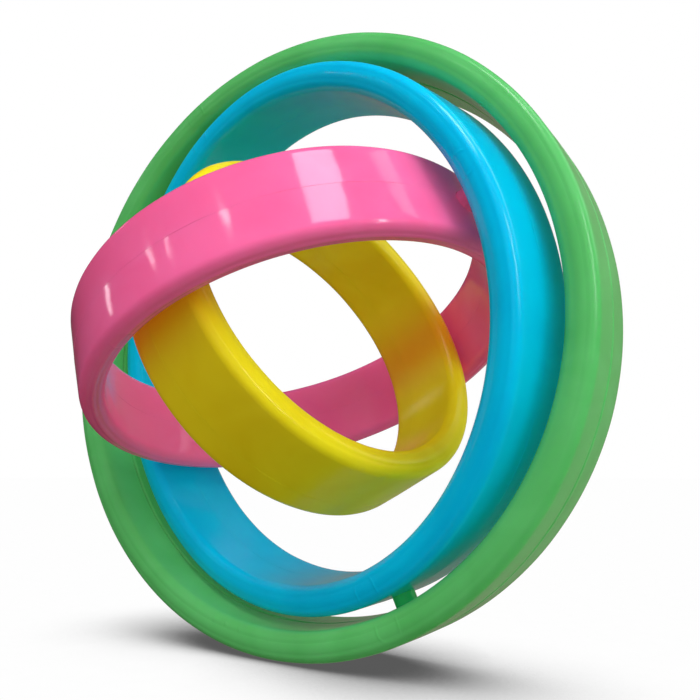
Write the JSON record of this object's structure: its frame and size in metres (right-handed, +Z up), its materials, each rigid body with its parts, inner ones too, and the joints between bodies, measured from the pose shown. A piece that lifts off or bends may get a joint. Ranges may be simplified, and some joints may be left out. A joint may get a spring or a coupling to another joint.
{
  "type": "nested gimbal ring puzzle toy",
  "caption": "Concentric plastic rings, each turning without limit inside the next larger one on two opposite pins, standing upright on the outermost ring.",
  "frame": {"origin": "on the floor, straight below the common centre of the rings", "axes": "+Z up; the outermost ring stands upright with its own axis along Y, and its front faces -Y"},
  "size_m": [0.0898, 0.0656, 0.0898],
  "materials": {
    "green_plastic": "moulded, glossy, slightly translucent",
    "green_pin_plastic": "moulded, glossy",
    "blue_plastic": "moulded, glossy, slightly translucent",
    "pink_plastic": "moulded, glossy, slightly translucent",
    "yellow_plastic": "moulded, glossy, slightly translucent"
  },
  "bodies": {
    "outer_ring": {"green_ring_front_half": "green_plastic", "green_ring_back_half": "green_plastic", "green_blue_pin_lower": "green_pin_plastic", "green_blue_pin_upper": "green_pin_plastic"},
    "blue_ring": {"blue_ring_front_half": "blue_plastic", "blue_ring_back_half": "blue_plastic", "blue_pink_pin_right": "pink_plastic", "blue_pink_pin_left": "pink_plastic"},
    "pink_ring": {"pink_ring_front_half": "pink_plastic", "pink_ring_back_half": "pink_plastic", "pink_yellow_pin_front": "pink_plastic", "pink_yellow_pin_rear": "pink_plastic"},
    "yellow_ring": {"yellow_ring_front_half": "yellow_plastic", "yellow_ring_back_half": "yellow_plastic"}
  },
  "joints": [
    {"name": "blue_turn", "type": "hinge", "parent": "outer_ring", "child": "blue_ring", "pos_m": [0, 0, 0.0449], "axis": [0.4226, 0, -0.9063], "continuous": true},
    {"name": "pink_turn", "type": "hinge", "parent": "blue_ring", "child": "pink_ring", "pos_m": [0, 0, 0.0449], "axis": [0.8939, -0.165, 0.4168], "continuous": true},
    {"name": "yellow_turn", "type": "hinge", "parent": "pink_ring", "child": "yellow_ring", "pos_m": [0, 0, 0.0449], "axis": [-0.1965, -0.9799, 0.0333], "continuous": true}
  ]
}
